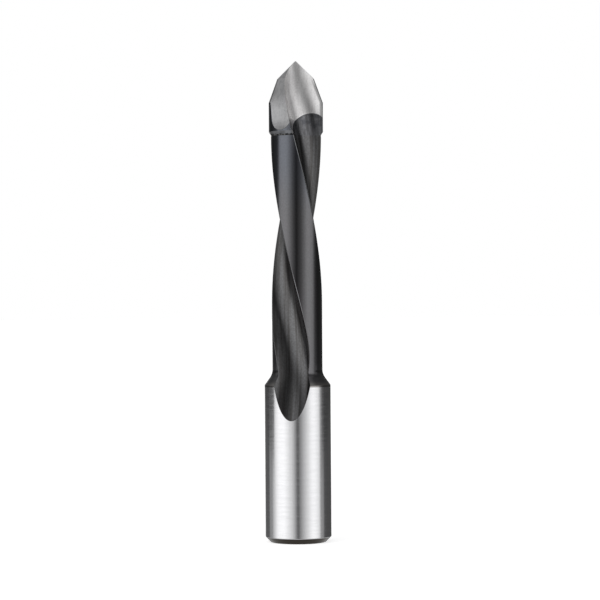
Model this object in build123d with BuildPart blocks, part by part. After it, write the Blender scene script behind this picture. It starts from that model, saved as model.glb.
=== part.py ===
from build123d import *
from math import radians, sqrt, tan
import os

# Dowel drill bit for a multi-spindle boring machine, left-hand cut, with a carbide head
# brazed to a fluted steel body. It stands on the end of its shank: the origin is the middle
# of that end, +Z runs up the drill's axis to the point, and angles are counted from +X,
# counter-clockwise seen from the point. All lengths are in millimetres.

# Lengths along the axis
overall_length = 72.8
shank_length = 23.75
head_length = 11.25
braze_thickness = 0.15
clamping_flat_length = 11.5

# Diameters
shank_diameter = 10.0
cutting_diameter = 8.2
body_diameter = 7.6
break_diameter = 5.58

# Shank end, neck and head edge
shank_chamfer = 0.85
clamping_flat_depth = 0.8
clamping_flat_angle = 90.0
neck_slope = 36.0
neck_fillet = 2.1
head_step_chamfer = 0.5

# Double-angle point: the inner cone is blunt, the outer one steep. The two reliefs meet in
# a chisel edge, which lies this far under the inner cone's apex.
inner_point_angle = 90.0
outer_point_angle = 40.0
chisel_drop = 0.05

# Flutes: a round wheel form on a left-hand helix, lifted out at the shank
flute_count = 2
flute_pitch = 96.0
flute_radius = 3.6
web_thickness = 2.3
runout_angle = -101.2
twist_end = 27.9
twist_ease = 3.0
wheel_stop = 34.5
wheel_radius = 33.1
section_step = 3.0

# Gash: a second grind down each flute of the head. It leans out of the flute towards the
# shank, so it thins the web to almost nothing at the point and ends in an arch below it. It
# is round and wide towards the lip, and tighter towards the heel, where it opens downwards.
gash_web = 0.14
gash_lean = 7.3
gash_turn = -3.4
gash_lip_radius = 4.2
gash_heel_radius = 1.4
gash_opening = 13.2

# Relief: a grind behind each lip, over the point's cones and down the head's side
relief_depth = 0.6
relief_slope = 4.0
relief_turn = -60.4
relief_run = 4.4
relief_corner = 5.4
relief_blend = 6.0

# A cutting tool reaches this far past the metal that it leaves
overcut = 2.0

shank_radius = shank_diameter / 2
cutting_radius = cutting_diameter / 2
body_radius = body_diameter / 2
break_radius = break_diameter / 2
head_bottom = overall_length - head_length
body_top = head_bottom - braze_thickness
apex_height = overall_length + chisel_drop
break_height = apex_height - break_radius / tan(radians(inner_point_angle / 2))
corner_height = break_height - (cutting_radius - break_radius) / tan(radians(outer_point_angle / 2))


def flute_angle(height):
    """Angle of the first flute's centre: the helix, eased into a straight run at the shank."""
    above = height - twist_end
    if above < -twist_ease:
        turned = 0.0
    elif above < twist_ease:
        turned = (above + twist_ease) ** 2 / (4 * twist_ease)
    else:
        turned = above
    return runout_angle - turned * 360 / flute_pitch


def flute_floor(height):
    """Radius of the flute's floor: half the web, then the arc that the lifting wheel leaves."""
    below = max(0.0, wheel_stop - height)
    return web_thickness / 2 + below**2 / (2 * wheel_radius)


# The metal that the fluting wheel takes out of one flute: its round-nosed section on planes
# from below its way out of the shank to past the point. The drill is fluted after brazing, so
# the body, the solder and the head are all cut by this one form.
runout_bottom = wheel_stop - sqrt(2 * wheel_radius * (shank_radius - web_thickness / 2))
section_count = int((overall_length + 2 * overcut - runout_bottom) / section_step) + 2
with BuildPart() as flute_cut:
    for index in range(section_count):
        height = runout_bottom - overcut + index * section_step
        nose_centre = flute_floor(height) + flute_radius
        back = nose_centre + shank_radius
        with BuildSketch(Plane.XY.offset(height).rotated((0, 0, flute_angle(height)))):
            with BuildLine():
                CenterArc((nose_centre, 0), flute_radius, 90, 180)
                Line((nose_centre, -flute_radius), (back, -flute_radius))
                Line((back, -flute_radius), (back, flute_radius))
                Line((back, flute_radius), (nose_centre, flute_radius))
            make_face()
    loft()

# Steel body: shank, neck and fluted body turned from one bar, with a clamping flat
with BuildPart() as steel_body:
    with BuildSketch(Plane.XZ):
        with BuildLine():
            neck_top = shank_length + (shank_radius - body_radius) / tan(radians(neck_slope))
            Polyline(
                (0, 0),
                (shank_radius - shank_chamfer, 0),
                (shank_radius, shank_chamfer),
                (shank_radius, shank_length),
                (body_radius, neck_top),
                (body_radius, body_top),
                (0, body_top),
                close=True,
            )
        make_face()
        neck_corner = vertices().sort_by_distance((body_radius, neck_top))[0]
        fillet(neck_corner, neck_fillet)
    revolve(axis=Axis.Z)
    with PolarLocations(0, flute_count):
        add(flute_cut.part, mode=Mode.SUBTRACT)
    flat_plane = Plane.XY.rotated((0, 0, clamping_flat_angle))
    with BuildSketch(flat_plane):
        with Locations((shank_radius - clamping_flat_depth, 0)):
            Rectangle(shank_radius, shank_diameter + overcut, align=(Align.MIN, Align.CENTER))
    extrude(amount=clamping_flat_length, mode=Mode.SUBTRACT)

# Braze joint: the thin layer of silver solder between the body's end and the head
with BuildPart() as braze_joint:
    with BuildSketch(Plane.XY.offset(body_top)):
        Circle(body_radius)
    extrude(amount=braze_thickness)
    with PolarLocations(0, flute_count):
        add(flute_cut.part, mode=Mode.SUBTRACT)

# The metal that the gash takes out of one flute of the head, on planes from below the head to
# past the point. Two arcs make its nose, and they meet in the line that runs down its floor.
gash_steps = int((head_length + 2 * overcut) / section_step) + 1
with BuildPart() as gash_cut:
    for index in range(gash_steps + 1):
        height = head_bottom - overcut + (head_length + 2 * overcut) * index / gash_steps
        floor = gash_web / 2 + (overall_length - height) * tan(radians(gash_lean))
        heel = gash_heel_radius + (overall_length - height) * tan(radians(gash_opening))
        back = floor + 3 * cutting_radius
        turn = flute_angle(height) + 360 / flute_count + gash_turn
        with BuildSketch(Plane.XY.offset(height).rotated((0, 0, turn))):
            with BuildLine():
                CenterArc((floor + gash_lip_radius, 0), gash_lip_radius, 90, 90)
                CenterArc((floor + heel, 0), heel, 180, 90)
                Line((floor + heel, -heel), (back, -heel))
                Line((back, -heel), (back, gash_lip_radius))
                Line((back, gash_lip_radius), (floor + gash_lip_radius, gash_lip_radius))
            make_face()
    loft()

# The relief wheel's cut, a profile beside the axis drawn right across the land. Its upper
# part follows the two cones a little inside them, and its foot is the wheel's round corner,
# which runs out of the head's side.
relief_angle = flute_angle(corner_height) + 360 / flute_count + relief_turn
relief_share = 1 - relief_depth / cutting_radius
relief_lean = tan(radians(relief_slope))
foot_depth = relief_depth - relief_run * relief_lean / 2
foot_rise = relief_corner - sqrt(relief_corner**2 - (relief_corner - foot_depth) ** 2)
relief_foot = corner_height - relief_run - foot_rise
relief_side = Vector(1, 0, 0).rotate(Axis.Z, relief_angle)
across = relief_side.cross(Vector(0, 0, 1))
with BuildPart() as relief_cut:
    with BuildSketch(Plane(origin=(0, 0, 0), x_dir=relief_side, z_dir=across)):
        far = 3 * cutting_radius
        inset = cutting_radius * relief_share
        foot_inset = inset + (corner_height - relief_foot) * relief_lean
        with BuildLine():
            Polyline(
                (far, relief_foot),
                (foot_inset, relief_foot),
                (inset, corner_height),
                (break_radius * relief_share, break_height),
                (0, overall_length),
                (0, overall_length + overcut),
                (far, overall_length + overcut),
                close=True,
            )
        make_face()
        fillet(vertices().sort_by_distance((foot_inset, relief_foot))[0], relief_corner)
        fillet(vertices().sort_by_distance((inset, corner_height))[0], relief_blend)
    extrude(amount=far, both=True)

# Carbide head: cutting cylinder, step chamfer towards the body and the ground double point
with BuildPart() as carbide_head:
    with BuildSketch(Plane.XZ):
        with BuildLine():
            Polyline(
                (0, head_bottom),
                (body_radius, head_bottom),
                (cutting_radius, head_bottom + head_step_chamfer),
                (cutting_radius, corner_height),
                (break_radius, break_height),
                (0, apex_height),
                close=True,
            )
        make_face()
    revolve(axis=Axis.Z)
    with PolarLocations(0, flute_count):
        add(flute_cut.part, mode=Mode.SUBTRACT)
        add(gash_cut.part, mode=Mode.SUBTRACT)
        add(relief_cut.part, mode=Mode.SUBTRACT)

steel_body.part.label = "steel_body"
braze_joint.part.label = "braze_joint"
carbide_head.part.label = "carbide_head"

os.makedirs("parts", exist_ok=True)
export_step(steel_body.part, "parts/steel_body.step")
export_step(braze_joint.part, "parts/braze_joint.step")
export_step(carbide_head.part, "parts/carbide_head.step")
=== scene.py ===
from math import atan2, cos, degrees, pi, radians, sin, sqrt, tan

import bpy
from mathutils import Matrix, Vector


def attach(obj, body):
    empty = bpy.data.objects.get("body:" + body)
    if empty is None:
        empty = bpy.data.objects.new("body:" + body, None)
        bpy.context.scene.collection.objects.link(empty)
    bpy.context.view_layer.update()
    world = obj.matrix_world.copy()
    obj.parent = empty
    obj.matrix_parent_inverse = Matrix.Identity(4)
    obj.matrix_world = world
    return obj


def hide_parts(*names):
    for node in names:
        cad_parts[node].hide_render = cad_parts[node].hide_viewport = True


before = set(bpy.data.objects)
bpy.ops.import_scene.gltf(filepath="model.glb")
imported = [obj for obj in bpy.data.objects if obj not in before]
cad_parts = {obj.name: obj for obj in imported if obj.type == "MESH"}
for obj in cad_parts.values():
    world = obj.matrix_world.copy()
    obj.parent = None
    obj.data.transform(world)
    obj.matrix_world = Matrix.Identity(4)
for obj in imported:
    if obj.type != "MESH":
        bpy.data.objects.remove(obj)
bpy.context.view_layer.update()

# Steel body: one bar of tool steel, turned with a shank, a neck and a thinner body. A wheel
# grinds two left-hand flutes and lifts out of them in the shank. The tool is blacked, and then
# the shank is ground bright again, with a clamping flat on the side away from the camera.
shank_radius = 5.0
shank_top = 23.75
shank_chamfer = 0.85
body_radius = 3.8
body_top = 61.4
neck_slope = radians(36)
neck_fillet = 2.1
edge_break = 0.05
blank_sides = 256
# The pieces are modelled in millimetres and brought to metres when they are finished
millimetre = 0.001


def start_editing():
    """Opens the primitive that was just added, with all of it selected."""
    piece = bpy.context.object
    bpy.ops.object.mode_set(mode="EDIT")
    bpy.ops.mesh.select_all(action="SELECT")
    return piece


def add_disc(sides):
    """A filled circle about the axis, 1 mm in radius, selected and ready to be drawn out."""
    bpy.ops.object.select_all(action="DESELECT")
    bpy.ops.mesh.primitive_circle_add(
        vertices=sides, radius=1, fill_type="NGON", location=(0, 0, 0)
    )
    return start_editing()


def draw_out(stations):
    """Moves the selected disc to the first station and draws it out through the others.

    A station is a height, the angle in degrees and the distance from the axis at which the
    disc's middle lies there, and the disc's radius. The disc turns with the angle.
    """
    old_middle = (0, 0, 0)
    old_angle = 0
    old_radius = 1
    for number, (height, angle, reach, radius) in enumerate(stations):
        middle = (reach * cos(radians(angle)), reach * sin(radians(angle)), height)
        shift = tuple(new - old for new, old in zip(middle, old_middle))
        if number:
            bpy.ops.mesh.extrude_region_move(TRANSFORM_OT_translate={"value": shift})
        else:
            bpy.ops.transform.translate(value=shift)
        scale = radius / old_radius
        bpy.ops.transform.resize(value=(scale, scale, 1), center_override=middle)
        # Blender counts a turn of the selection clockwise
        bpy.ops.transform.rotate(
            value=radians(old_angle - angle), orient_axis="Z", center_override=middle
        )
        old_middle = middle
        old_angle = angle
        old_radius = radius
    bpy.ops.mesh.select_all(action="SELECT")
    bpy.ops.mesh.normals_make_consistent(inside=False)
    bpy.ops.object.mode_set(mode="OBJECT")


def turn_blank(name, profile):
    """A blank turned to that profile of heights and radii."""
    piece = add_disc(blank_sides)
    piece.name = name
    draw_out([(height, 0, 0, radius) for height, radius in profile])
    return piece


neck_corner = shank_top + (shank_radius - body_radius) / tan(neck_slope)
fillet_reach = neck_fillet * tan(neck_slope / 2)
fillet_steps = 12
profile = [
    (0, shank_radius - shank_chamfer),
    (shank_chamfer, shank_radius),
    (shank_top, shank_radius),
]
for step in range(fillet_steps + 1):
    lean = neck_slope * (1 - step / fillet_steps)
    height = neck_corner + fillet_reach - neck_fillet * sin(lean)
    profile.append((height, body_radius + neck_fillet * (1 - cos(lean))))
profile.append((body_top, body_radius))
steel_body = turn_blank("coated_steel_body", profile)
bevel = steel_body.modifiers.new("edge_break", "BEVEL")
bevel.width = edge_break
bevel.segments = 3
bevel.limit_method = "ANGLE"
bevel.angle_limit = radians(12)
bpy.ops.object.modifier_apply(modifier=bevel.name)

# The fluting wheel's round nose follows a helix of this pitch, which eases into a straight run
# at the shank. There the wheel lifts out on its own arc.
flute_pitch = 96.0
flute_radius = 3.6
half_web = 1.15
runout_angle = -101.2
twist_end = 27.9
twist_ease = 3.0
wheel_stop = 34.5
wheel_radius = 33.1


def flute_angle(height):
    """Degrees about the axis of the first flute's centre: a helix, eased into a straight run."""
    above = height - twist_end + twist_ease
    eased = min(max(above, 0), 2 * twist_ease)
    turned = eased**2 / (4 * twist_ease) + max(above - 2 * twist_ease, 0)
    return runout_angle - turned * 360 / flute_pitch


def flute_centre(height):
    """Millimetres from the axis to the middle of the wheel's round nose."""
    return half_web + flute_radius + max(0, wheel_stop - height) ** 2 / (2 * wheel_radius)


def cut(piece, tool):
    """Takes the tool's volume out of the piece and keeps the tool."""
    bpy.ops.object.select_all(action="DESELECT")
    bpy.context.view_layer.objects.active = piece
    piece.select_set(True)
    boolean = piece.modifiers.new("cut", "BOOLEAN")
    boolean.operation = "DIFFERENCE"
    boolean.solver = "EXACT"
    boolean.object = tool
    bpy.ops.object.modifier_apply(modifier=boolean.name)


def cut_both_sides(piece, tool):
    """Takes the tool's volume out of the piece, and once more from the opposite side."""
    for side in (0, pi):
        tool.rotation_euler.z = side
        bpy.context.view_layer.update()
        cut(piece, tool)
    tool.rotation_euler.z = 0


flute_start = 16.5
flute_end = 77.0
flute_steps = 121
wheel_sides = 192
stations = []
for step in range(flute_steps + 1):
    height = flute_start + (flute_end - flute_start) * step / flute_steps
    stations.append((height, flute_angle(height), flute_centre(height), flute_radius))
fluting_wheel = add_disc(wheel_sides)
draw_out(stations)
cut_both_sides(steel_body, fluting_wheel)

flat_distance = 4.2
flat_top = 11.5
half_mill = (7, 3, 8)
bpy.ops.object.select_all(action="DESELECT")
bpy.ops.mesh.primitive_cube_add(size=2)
flat_mill = start_editing()
bpy.ops.transform.resize(value=half_mill, center_override=(0, 0, 0))
bpy.ops.transform.translate(value=(0, flat_distance + half_mill[1], flat_top - half_mill[2]))
bpy.ops.object.mode_set(mode="OBJECT")
cut(steel_body, flat_mill)
bpy.data.objects.remove(flat_mill)


class Wire:
    """An output of a shader node, which adds, multiplies and compares like a number."""

    def __init__(self, finish, node, output=0):
        self.finish = finish
        self.node = node
        self.output = output

    def of(self, output):
        """Another output of the same node."""
        return Wire(self.finish, self.node, output)

    def math(self, operation, *others):
        sockets = {f"_{number}": value for number, value in enumerate((self, *others))}
        return self.finish.add("ShaderNodeMath", {"operation": operation}, **sockets)

    def __add__(self, other):
        return self.math("ADD", other)

    __radd__ = __add__

    def __mul__(self, other):
        return self.math("MULTIPLY", other)

    __rmul__ = __mul__

    def __sub__(self, other):
        return self.math("SUBTRACT", other)

    def __rsub__(self, other):
        return self * -1 + other

    def __truediv__(self, other):
        return self.math("DIVIDE", other)

    def __lt__(self, other):
        return self.math("LESS_THAN", other)

    def ramp(self, off, on):
        """A smooth step from 0 at the first number to 1 at the second, whichever is larger."""
        return self.finish.add(
            "ShaderNodeMapRange",
            {"interpolation_type": "SMOOTHSTEP"},
            Value=self,
            From_Min=min(off, on),
            From_Max=max(off, on),
            To_Min=0.0 if off < on else 1.0,
            To_Max=1.0 if off < on else 0.0,
        )

    def blend(self, under, over):
        """A number between two others: the second where this is 1, the first where it is 0."""
        return under + self * (over - under)

    def mix(self, under, over):
        """The same for two colours."""
        mixed = self.finish.add(
            "ShaderNodeMix", {"data_type": "RGBA"}, _0=self, _6=under, _7=over
        )
        return mixed.of(2)


class Finish:
    """The shader nodes of one finish."""

    def __init__(self, owner):
        owner.use_nodes = True
        self.tree = owner.node_tree
        self.tree.nodes.clear()

    def add(self, kind, settings=None, **sockets):
        """Adds a node. A socket goes by its name, or by its number where a name comes twice."""
        node = self.tree.nodes.new(kind)
        for name, value in (settings or {}).items():
            if name == "stops":
                ramp = node.color_ramp
                while len(ramp.elements) < len(value):
                    ramp.elements.new(1.0)
                for stop, (place, level) in zip(ramp.elements, value):
                    stop.position = place
                    stop.color = (level, level, level, 1)
            else:
                setattr(node, name, value)
        for name, value in sockets.items():
            number = name.lstrip("_")
            socket = node.inputs[int(number) if number.isdigit() else name.replace("_", " ")]
            if isinstance(value, Wire):
                self.tree.links.new(value.node.outputs[value.output], socket)
            else:
                socket.default_value = value
        return Wire(self, node)

    def place(self):
        """The three Object coordinates in millimetres."""
        coordinates = self.add("ShaderNodeTexCoord").of("Object")
        parts = self.add("ShaderNodeSeparateXYZ", Vector=coordinates)
        return [parts.of(axis) * (1 / millimetre) for axis in "XYZ"]

    def noise(self, x, y, z, detail=2.0, roughness=0.5):
        """Noise between 0 and 1, with about one spot to each step of 1 in the numbers."""
        spot = self.add("ShaderNodeCombineXYZ", X=x, Y=y, Z=z)
        noise = self.add(
            "ShaderNodeTexNoise",
            {"noise_dimensions": "3D"},
            Vector=spot,
            Scale=1.0,
            Detail=detail,
            Roughness=roughness,
        )
        return noise.of("Fac")

    def metal(self, colour, roughness, texture):
        """The surface of a metal. Its texture is a height in fiftieths of a millimetre."""
        bump = self.add(
            "ShaderNodeBump", Strength=1.0, Distance=0.02 * millimetre, Height=texture
        )
        shader = self.add(
            "ShaderNodeBsdfPrincipled",
            Base_Color=colour,
            Metallic=1.0,
            Roughness=roughness,
            Normal=bump,
        )
        self.add("ShaderNodeOutputMaterial", Surface=shader)


def new_finish(piece, name):
    """An empty finish on the piece, under that name."""
    material = bpy.data.materials.new(name)
    piece.data.materials.clear()
    piece.data.materials.append(material)
    return Finish(material)


def untwist(x, y, z):
    """How far a point lies along and across the direction of the first flute at its height."""
    above = z - (twist_end - twist_ease)
    eased = above.math("MAXIMUM", 0.0).math("MINIMUM", 2 * twist_ease)
    turned = eased * eased / (4 * twist_ease) + (above - 2 * twist_ease).math("MAXIMUM", 0.0)
    angle = turned * radians(-360 / flute_pitch) + radians(runout_angle)
    cosine = angle.math("COSINE")
    sine = angle.math("SINE")
    return x * cosine + y * sine, y * cosine - x * sine


def find_wall(along, across, z):
    """How far a point lies beyond the nearer flute's centre, and how far outside its wall."""
    below = (wheel_stop - z).math("MAXIMUM", 0.0)
    centre = below * below / (2 * wheel_radius) + (half_web + flute_radius)
    beyond = along.math("ABSOLUTE") - centre
    return beyond, (beyond * beyond + across * across).math("SQRT") - flute_radius


def wheel_streaks(finish, beyond, across, z):
    """The streaks that the wheel's grit leaves, which run up the flute with its twist."""
    fineness = 2.4
    return finish.noise(
        beyond * fineness, across * fineness, z * 0.07, detail=3.0, roughness=0.55
    )


coat_neutral = (0.127, 0.126, 0.131, 1)
coat_blue = (0.118, 0.125, 0.142, 1)
flute_dark = (0.078, 0.076, 0.075, 1)
flute_light = (0.135, 0.136, 0.14, 1)
grain_black = (0.04, 0.037, 0.035, 1)
edge_wear_and_highlight = (0.2, 0.2, 0.205, 1)
neck_painted_highlight = (0.34, 0.325, 0.31, 1)
ground_dull = (0.615, 0.615, 0.626, 1)
ground_bright = (0.68, 0.68, 0.692, 1)
chamfer_stain_and_shade = (0.052, 0.045, 0.037, 1)

finish = new_finish(steel_body, "blacked_and_ground_steel")
x, y, z = finish.place()
along, across = untwist(x, y, z)
beyond, outside = find_wall(along, across, z)
on_land = outside.ramp(0.01, 0.04)
bright_top = 23.5
bright = on_land * z.ramp(bright_top + 0.04, bright_top - 0.04)

# The coat is bluish on the upper lands and streaked and grainy in the flutes. A painted
# highlight lightens it where the neck meets the ground shank. At the edges of the lands above
# the run-out it is lighter, partly worn coat and partly a painted highlight.
neutral_below = 54
blue_above = 66
patch_shift = 12
run_out_top = 27
edge_width = 0.13
neck_highlight_height = 0.7
streaks = wheel_streaks(finish, beyond, across, z)
patches = finish.noise(x * 0.22, y * 0.22, z * 0.06)
grains = finish.noise(x * 4.0, y * 4.0, z * 4.0, detail=3.0)
blue_share = (z + patches * patch_shift).ramp(neutral_below, blue_above)
flute_coat = streaks.ramp(0.35, 0.65).mix(flute_dark, flute_light)
black = on_land.mix(flute_coat, blue_share.mix(coat_neutral, coat_blue))
grain_share = grains.ramp(0.7, 0.3) * (on_land * -0.2 + 0.36)
black = grain_share.mix(black, grain_black)
# Lighter coat along the land edges above the run-out: partly worn coat, partly a painted
# highlight
edge_wear_and_highlight_share = on_land * outside.ramp(edge_width, 0.05) * z.ramp(run_out_top, run_out_top + 3)
black = edge_wear_and_highlight_share.mix(black, edge_wear_and_highlight)
# Lighter coat at the foot of the neck, where it meets the shank: a painted highlight
neck_highlight_share = on_land * z.ramp(shank_top + neck_highlight_height, shank_top) * 0.6
black = neck_highlight_share.mix(black, neck_painted_highlight)

# The shank has the fine rings of cylindrical grinding. Its end chamfer is painted dark brown:
# partly a brown stain, partly painted shade for the shadowed floor that it faces.
rings = finish.noise(x * 0.3, y * 0.3, z * 3.0, detail=4.0, roughness=0.7)
steel = rings.ramp(0.3, 0.7).mix(ground_dull, ground_bright)
# The end chamfer's dark colour: a brown stain and a painted shade for the shadowed floor below
# it
on_chamfer = z.ramp(shank_chamfer - 0.01, shank_chamfer - 0.07)
steel = on_chamfer.mix(steel, chamfer_stain_and_shade)

# The bump rounds the lands off towards the flutes above the run-out, so their edges catch light
rounding_width = 0.12
coat_roughness = on_land * -0.03 + streaks * 0.05 + 0.14
steel_roughness = rings.ramp(0.3, 0.7) * 0.1 + 0.1
rounding = outside.ramp(0.0, rounding_width) * z.ramp(run_out_top - 3, run_out_top)
texture = bright.blend((1 - on_land) * streaks, rings * 0.15) + rounding * 3.0
finish.metal(
    bright.mix(black, steel), bright.blend(coat_roughness, steel_roughness), texture
)


def finish_piece(piece, node):
    """Cleans the mesh, brings it to metres and lets it stand for its CAD node."""
    bpy.ops.object.select_all(action="DESELECT")
    bpy.context.view_layer.objects.active = piece
    piece.select_set(True)
    bpy.ops.object.mode_set(mode="EDIT")
    bpy.ops.mesh.select_mode(type="FACE")
    bpy.ops.mesh.select_all(action="SELECT")
    bpy.ops.mesh.remove_doubles(threshold=0.0001)
    bpy.ops.mesh.quads_convert_to_tris()
    bpy.ops.object.mode_set(mode="OBJECT")
    # Where the cuts leave a sliver folded onto itself, both of its faces are taken out
    folded = {}
    for face in piece.data.polygons:
        folded.setdefault(frozenset(face.vertices), []).append(face)
    for faces in folded.values():
        for face in faces:
            face.select = len(faces) > 1
    bpy.ops.object.mode_set(mode="EDIT")
    bpy.ops.mesh.delete(type="FACE")
    bpy.ops.mesh.select_all(action="SELECT")
    bpy.ops.transform.resize(value=(millimetre,) * 3, center_override=(0, 0, 0))
    bpy.ops.object.mode_set(mode="OBJECT")
    bpy.ops.object.shade_smooth_by_angle(angle=radians(8))
    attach(piece, "root")
    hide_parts(node)


finish_piece(steel_body, "steel_body")

# Braze joint: silver solder a seventh of a millimetre thick, drawn in between the body's end
# and the head when both were heated. The flutes are ground through it and coated, and on the
# lands it is left a little low, with beads that seeped out onto the head's lower chamfer.
braze_top = 61.55
joint_recess = 0.03
joint_radius = body_radius - joint_recess
solder_dark = (0.02, 0.02, 0.021, 1)
solder_light = (0.17, 0.165, 0.16, 1)
flute_dark = (0.07, 0.07, 0.071, 1)
flute_light = (0.12, 0.121, 0.125, 1)


def solder_beads(finish, x, y, z):
    """Beads of about half a millimetre along the joint."""
    return finish.noise(x * 2.2, y * 2.2, z * 2.0, detail=3.0)


braze_joint = turn_blank(
    "silver_solder_layer", [(body_top, joint_radius), (braze_top, joint_radius)]
)
cut_both_sides(braze_joint, fluting_wheel)

finish = new_finish(braze_joint, "dull_coated_solder")
x, y, z = finish.place()
along, across = untwist(x, y, z)
beyond, outside = find_wall(along, across, z)
on_land = outside.ramp(0.01, 0.04)
streaks = wheel_streaks(finish, beyond, across, z)
beads = solder_beads(finish, x, y, z)
flute_coat = streaks.ramp(0.35, 0.65).mix(flute_dark, flute_light)
solder = beads.ramp(0.45, 0.6).mix(solder_dark, solder_light)
finish.metal(
    on_land.mix(flute_coat, solder),
    on_land.blend(streaks * 0.06 + 0.14, beads * 0.2 + 0.4),
    on_land.blend(streaks, beads),
)
finish_piece(braze_joint, "braze_joint")

# Carbide head: a sintered blank brazed on, fluted with the body and coated with it. The point,
# the relief behind each lip and the gash down each rake face are ground last, through the
# coat, with fine diamond wheels.
overall_length = 72.8
cutting_radius = 4.1
break_radius = 2.79
chisel_drop = 0.05
head_chamfer = 0.5
tip_radius = 0.01
outer_slope = tan(radians(20))
# The inner cone's half angle is 45 degrees, so its height is its radius
apex = overall_length + chisel_drop
break_height = apex - break_radius
corner_height = break_height - (cutting_radius - break_radius) / outer_slope
carbide_head = turn_blank(
    "ground_carbide_head",
    [
        (braze_top, body_radius),
        (braze_top + head_chamfer, cutting_radius),
        (corner_height, cutting_radius),
        (break_height, break_radius),
        (apex - tip_radius, tip_radius),
    ],
)
cut_both_sides(carbide_head, fluting_wheel)
bpy.data.objects.remove(fluting_wheel)


def pick(piece, wanted):
    """Selects just the vertices whose place is wanted, and the faces and edges between them."""
    bpy.ops.object.mode_set(mode="OBJECT")
    for face in piece.data.polygons:
        face.select = False
    for edge in piece.data.edges:
        edge.select = False
    for vertex in piece.data.vertices:
        vertex.select = wanted(vertex.co)
    bpy.ops.object.mode_set(mode="EDIT")
    bpy.ops.mesh.select_mode(type="VERT")


# The gash's wheel is round and wide towards the lip. Towards the heel it is tighter and opens
# downwards, so that half of each section is drawn in towards the floor, which leans outwards.
half_gash_web = 0.07
gash_lean = tan(radians(7.3))
gash_turn = -3.4
lip_radius = 4.2
heel_radius = 1.4
heel_opening = tan(radians(13.2))
gash_start = 59.5
gash_end = 74.5
gash_steps = 30
gash_sides = 256
near_enough = 0.001
stations = []
for step in range(gash_steps + 1):
    height = gash_start + (gash_end - gash_start) * step / gash_steps
    angle = flute_angle(height) + gash_turn + 180
    floor_reach = half_gash_web + (overall_length - height) * gash_lean
    stations.append((height, angle, floor_reach + lip_radius, lip_radius))
gash_wheel = add_disc(gash_sides)
draw_out(stations)
for height, angle, reach, radius in stations:
    outward = Vector((cos(radians(angle)), sin(radians(angle)), 0))
    floor_point = outward * (reach - radius) + Vector((0, 0, height))
    lip_side = Vector((0, 0, 1)).cross(outward)
    pick(
        gash_wheel,
        lambda place: abs(place.z - height) < near_enough
        and place.dot(lip_side) < -near_enough,
    )
    scale = (heel_radius + (overall_length - height) * heel_opening) / lip_radius
    bpy.ops.transform.resize(value=(scale, scale, 1), center_override=floor_point)
bpy.ops.object.mode_set(mode="OBJECT")
cut_both_sides(carbide_head, gash_wheel)
bpy.data.objects.remove(gash_wheel)

# The relief's wheel is a slab with the profile of the point, a little inside its two cones. Its
# lower corner and the bend under its cones are rounded, and it reaches right across the land.
relief_depth = 0.6
relief_slope = radians(4)
relief_turn = -60.4
relief_run = 4.4
relief_corner = 5.4
relief_blend = 6.0
relief_reach = 12.0
relief_overcut = 2
relief_share = 1 - relief_depth / cutting_radius
foot_depth = relief_depth - relief_run * tan(relief_slope) / 2
foot_rise = relief_corner - sqrt(relief_corner**2 - (relief_corner - foot_depth) ** 2)
relief_foot = corner_height - relief_run - foot_rise
corner_inset = cutting_radius * relief_share
break_inset = break_radius * relief_share
foot_inset = corner_inset + (corner_height - relief_foot) * tan(relief_slope)
cone_slope = atan2(corner_inset - break_inset, break_height - corner_height)
bpy.ops.object.select_all(action="DESELECT")
bpy.ops.mesh.primitive_plane_add(size=2, location=(0, 0, 0))
relief_wheel = start_editing()
half_width = (relief_reach - foot_inset) / 2
bpy.ops.transform.resize(value=(half_width, relief_reach, 1), center_override=(0, 0, 0))
bpy.ops.transform.translate(value=((relief_reach + foot_inset) / 2, 0, relief_foot))
height = relief_foot
inset = foot_inset
for next_height, next_inset in (
    (corner_height, corner_inset),
    (break_height, break_inset),
    (overall_length, 0.0),
    (overall_length + relief_overcut, 0.0),
):
    bpy.ops.mesh.select_all(action="DESELECT")
    pick(relief_wheel, lambda place: place.z > height - near_enough)
    bpy.ops.mesh.extrude_region_move(
        TRANSFORM_OT_translate={"value": (0, 0, next_height - height)}
    )
    pick(
        relief_wheel,
        lambda place: place.z > next_height - near_enough and place.x < inset + near_enough,
    )
    bpy.ops.transform.translate(value=(next_inset - inset, 0, 0))
    height = next_height
    inset = next_inset
bpy.ops.mesh.select_all(action="SELECT")
bpy.ops.mesh.normals_make_consistent(inside=False)
for height, inset, rounding_radius, bend in (
    (relief_foot, foot_inset, relief_corner, radians(90) - relief_slope),
    (corner_height, corner_inset, relief_blend, relief_slope + cone_slope),
):
    pick(
        relief_wheel,
        lambda place: abs(place.z - height) < near_enough
        and abs(place.x - inset) < near_enough,
    )
    bpy.ops.mesh.bevel(
        offset_type="OFFSET",
        offset=rounding_radius * tan(bend / 2),
        segments=24,
        profile=0.5,
        affect="EDGES",
    )
bpy.ops.object.mode_set(mode="OBJECT")
relief_angle = radians(flute_angle(corner_height) + 180 + relief_turn)
relief_wheel.data.transform(Matrix.Rotation(relief_angle, 4, "Z"))
cut_both_sides(carbide_head, relief_wheel)
bpy.data.objects.remove(relief_wheel)

flute_dark = (0.09, 0.09, 0.093, 1)
flute_light = (0.155, 0.157, 0.166, 1)
smudge_black = (0.05, 0.052, 0.06, 1)
speckle_black = (0.03, 0.03, 0.03, 1)
chamfer_rub_and_reflection_dark = (0.17, 0.175, 0.185, 1)
chamfer_rub_and_reflection_light = (0.3, 0.31, 0.33, 1)
bead_black = (0.03, 0.03, 0.032, 1)
gash_dark = (0.56, 0.55, 0.55, 1)
gash_light = (0.75, 0.745, 0.745, 1)
lip_dark = (0.16, 0.16, 0.16, 1)
point_dark = (0.31, 0.31, 0.315, 1)
point_light = (0.45, 0.45, 0.457, 1)

finish = new_finish(carbide_head, "coated_and_ground_carbide")
x, y, z = finish.place()
along, across = untwist(x, y, z)
beyond, outside = find_wall(along, across, z)
radius = (x * x + y * y).math("SQRT")

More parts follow.
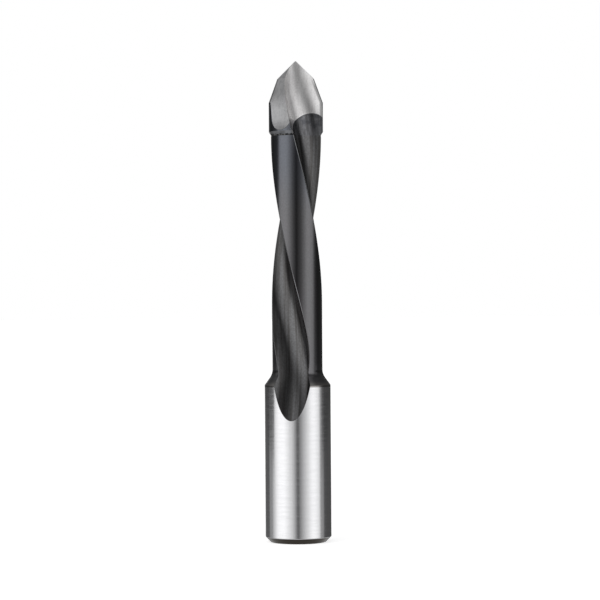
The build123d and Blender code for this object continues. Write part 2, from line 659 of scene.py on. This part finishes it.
# The coat is ground through in the gash, which is found in its own turned frame, in the relief,
# which lies off the flutes and inside the head's cylinder above the chamfer, and on the point
gash_cosine = cos(radians(gash_turn))
gash_sine = sin(radians(gash_turn))
gash_along = along * gash_cosine + across * gash_sine
sideways = (across * gash_cosine - along * gash_sine) * gash_along.math("SIGN")
drop = overall_length - z
nose = (sideways < 0.0) * (drop * heel_opening + (heel_radius - lip_radius)) + lip_radius
gash_beyond = gash_along.math("ABSOLUTE") - drop * gash_lean - half_gash_web - nose
gash_beyond = gash_beyond.math("MINIMUM", 0.0)
gash_outside = (gash_beyond * gash_beyond + sideways * sideways).math("SQRT") - nose
in_gash = gash_outside.ramp(0.02, 0.008)
on_side = outside.ramp(0.01, 0.03)
on_cylinder = radius.ramp(cutting_radius - 0.03, cutting_radius - 0.01)
chamfer_top = braze_top + head_chamfer
in_relief = on_side * (1 - on_cylinder) * z.ramp(chamfer_top + 0.02, chamfer_top + 0.06)
on_point = z.ramp(corner_height - 0.05, corner_height + 0.02)
ground = in_gash.math("MAXIMUM", in_relief).math("MAXIMUM", on_point)
ground = ground * z.ramp(braze_top - 0.01, braze_top + 0.01)

# The coat is streaked and smudged in the flutes and speckled all over. On the chamfer, where the
# solder's beads seeped out, it is lighter: partly rubbed coat, partly a painted reflection of
# the floor below.
smudges_start = 1.5
bead_height = 0.2
streaks = wheel_streaks(finish, gash_beyond, across, z)
smudges = finish.noise(x * 0.6, y * 0.6, z * 1.3, detail=4.0, roughness=0.6)
speckle = finish.noise(x * 5.0, y * 5.0, z * 5.0)
clouds = finish.noise(x * 0.5, y * 0.5, z * 0.3)
beads = solder_beads(finish, x, y, z)
smudged = smudges.ramp(0.58, 0.4) * z.ramp(braze_top, braze_top + smudges_start) * 0.6
flute_coat = streaks.ramp(0.35, 0.65).mix(flute_dark, flute_light)
black = on_side.mix(smudged.mix(flute_coat, smudge_black), coat_blue)
black = (speckle.ramp(0.7, 0.3) * 0.25).mix(black, speckle_black)
# Lighter coat on the lower chamfer: partly rubbed coat, partly a painted reflection of the floor
# below
chamfer_rub_and_reflection = clouds.ramp(0.4, 0.6).mix(chamfer_rub_and_reflection_dark, chamfer_rub_and_reflection_light)
seeped = beads.ramp(0.55, 0.45) * z.ramp(braze_top + bead_height, braze_top + 0.1)
on_chamfer = on_side * z.ramp(chamfer_top + 0.05, chamfer_top - 0.05)
black = on_chamfer.mix(black, seeped.mix(chamfer_rub_and_reflection, bead_black))

# The ground carbide is mottled. The gash is the smoother towards its foot, and a darker rim
# runs inside it along the lower part of the lip.
rim_width = 0.55
rim_end = 70.6
smooth_below = 66
dull_above = 69.5
grind = finish.noise(x * 3.0, y * 3.0, z * 0.5, detail=4.0, roughness=0.65)
mottle = (grind * 0.35 + clouds * 0.3 + speckle * 0.35).ramp(0.35, 0.65)
cone_radius = (break_height - z) * outer_slope + break_radius
to_lip = cone_radius.math("MINIMUM", cutting_radius) - radius
lip_rim = in_gash * to_lip.ramp(rim_width, 0.2) * z.ramp(rim_end, rim_end - 2) * 0.75
gash_carbide = lip_rim.mix(mottle.mix(gash_dark, gash_light), lip_dark)
carbide = in_gash.mix(mottle.mix(point_dark, point_light), gash_carbide)

coat_roughness = streaks * 0.06 + 0.13
point_roughness = grind * 0.08 + 0.4
gash_roughness = point_roughness + (z.ramp(smooth_below, dull_above) * 0.09 - 0.12)
carbide_roughness = in_gash.blend(point_roughness, gash_roughness)
finish.metal(
    ground.mix(black, carbide),
    ground.blend(coat_roughness, carbide_roughness) + on_chamfer * 0.25,
    ground.blend(streaks, grind * 0.5 + speckle * 0.3),
)
finish_piece(carbide_head, "carbide_head")

# Stage: a white floor, the studio around it and the camera. The camera stands level, a third
# of a metre away, and looks a little above the middle of the bit. Floor and background are
# white to it alone, so that the metal reflects the lamps and the dark gaps between them.
bpy.ops.object.select_all(action="DESELECT")
bpy.ops.mesh.primitive_plane_add(size=8, location=(0, 0, 0))
floor = bpy.context.object
floor.name = "floor"
floor.visible_glossy = False
finish = new_finish(floor, "white_floor")
camera_sees = finish.add("ShaderNodeLightPath").of("Is Camera Ray")
paper = finish.add("ShaderNodeBsdfDiffuse", Color=(0.8, 0.8, 0.8, 1))
lift = finish.add("ShaderNodeEmission", Color=(1, 1, 1, 1), Strength=camera_sees * 0.76)
lifted_paper = finish.add("ShaderNodeAddShader", _0=paper, _1=lift)
finish.add("ShaderNodeOutputMaterial", Surface=lifted_paper)

# The studio's light comes from its world. A direction goes by its degrees round from the
# camera's side, towards the right of the picture, and by the degrees that it rises.
world = bpy.data.worlds.new("studio")
bpy.context.scene.world = world
studio = Finish(world)
direction = studio.add("ShaderNodeTexCoord").of("Generated")
parts = studio.add("ShaderNodeSeparateXYZ", Vector=direction)
x, y, z = (parts.of(axis) for axis in "XYZ")
azimuth = x.math("ARCTAN2", y * -1) * degrees(1)
rise = z.math("ARCSINE") * degrees(1)

# How bright the lamps and cards are, going round
round_levels = (
    # a card behind, a dark gap and a grey card on the left
    (-180, 0.9), (-168, 0.9), (-157, 0.07), (-121, 0.08), (-117, 0.31), (-103, 0.33),
    # the left lamp, fading towards the camera
    (-98, 0.60), (-79, 1.24), (-70, 1.42), (-50, 1.46), (-22, 0.88), (-11, 0.50),
    # the dark gap in which the camera stands
    (-6, 0.22), (-1, 0.08), (3, 0.12), (7, 0.28),
    # the right lamp
    (27, 0.80), (50, 1.35), (60, 1.36), (74, 1.12), (80, 0.9),
    # a grey card and the dark room on the right
    (85, 0.36), (98, 0.32), (104, 0.06), (121, 0.04), (150, 0.03),
)
brightest = 2
lamps = studio.add(
    "ShaderNodeValToRGB",
    {"stops": [((around + 180) / 360, level / brightest) for around, level in round_levels]},
    Fac=azimuth / 360 + 0.5,
)
lamps = lamps * brightest * rise.ramp(-22, -13) * rise.ramp(32, 14)

# Screens dim the lamps below 7 to 12 degrees. The one in the middle leaves out all that is
# under the horizon, and those at the sides leave out the first 8 degrees under it. The shank's
# reflections lie there, and its dark gaps are narrower than those of the body and the head.
middle_screen = azimuth.ramp(-42, -8) * azimuth.ramp(48, 14) * rise.ramp(-1.9, -1.0)
at_sides = 1 - azimuth.ramp(-95, -80) * azimuth.ramp(95, 86)
side_screens = at_sides * (1 - rise.ramp(-9.5, -7) * rise.ramp(-0.7, -1.5))
screens = rise.ramp(12, 7) * (middle_screen * 0.55 + side_screens * 0.8)

# A soft ceiling brightens upwards, more on the left and the right than in front and behind. A
# lamp hangs high on the left, and the pale floor lights the bit from below.
left_ceiling = azimuth.ramp(-155, -120) * azimuth.ramp(5, -30)
right_ceiling = azimuth.ramp(22, 40) * azimuth.ramp(95, 75)
ceiling = rise.ramp(8, 60) * (left_ceiling * 0.38 + right_ceiling * 0.25 + 0.17)
high_lamp = azimuth.ramp(-72, -60) * azimuth.ramp(5, -50) * rise.ramp(25, 45) * 0.55
lit_floor = rise.ramp(-15, -22) * 0.6
room = 0.06
light = lamps * (1 - screens) + ceiling + high_lamp + lit_floor + room
camera_sees = studio.add("ShaderNodeLightPath").of("Is Camera Ray")
background = studio.add(
    "ShaderNodeBackground", Color=(1, 1, 1, 1), Strength=camera_sees.blend(light, 1)
)
studio.add("ShaderNodeOutputWorld", Surface=background)

camera_data = bpy.data.cameras.new("camera")
camera_data.lens = 135.78
camera_data.sensor_width = 36
camera_data.clip_start = 0.01
camera = bpy.data.objects.new("camera", camera_data)
camera.location = (0.000455, -0.343, 0.0366)
camera.rotation_euler = (radians(90), radians(0.37), 0)
bpy.context.scene.collection.objects.link(camera)
bpy.context.scene.camera = camera
bpy.context.scene.view_settings.view_transform = "Standard"
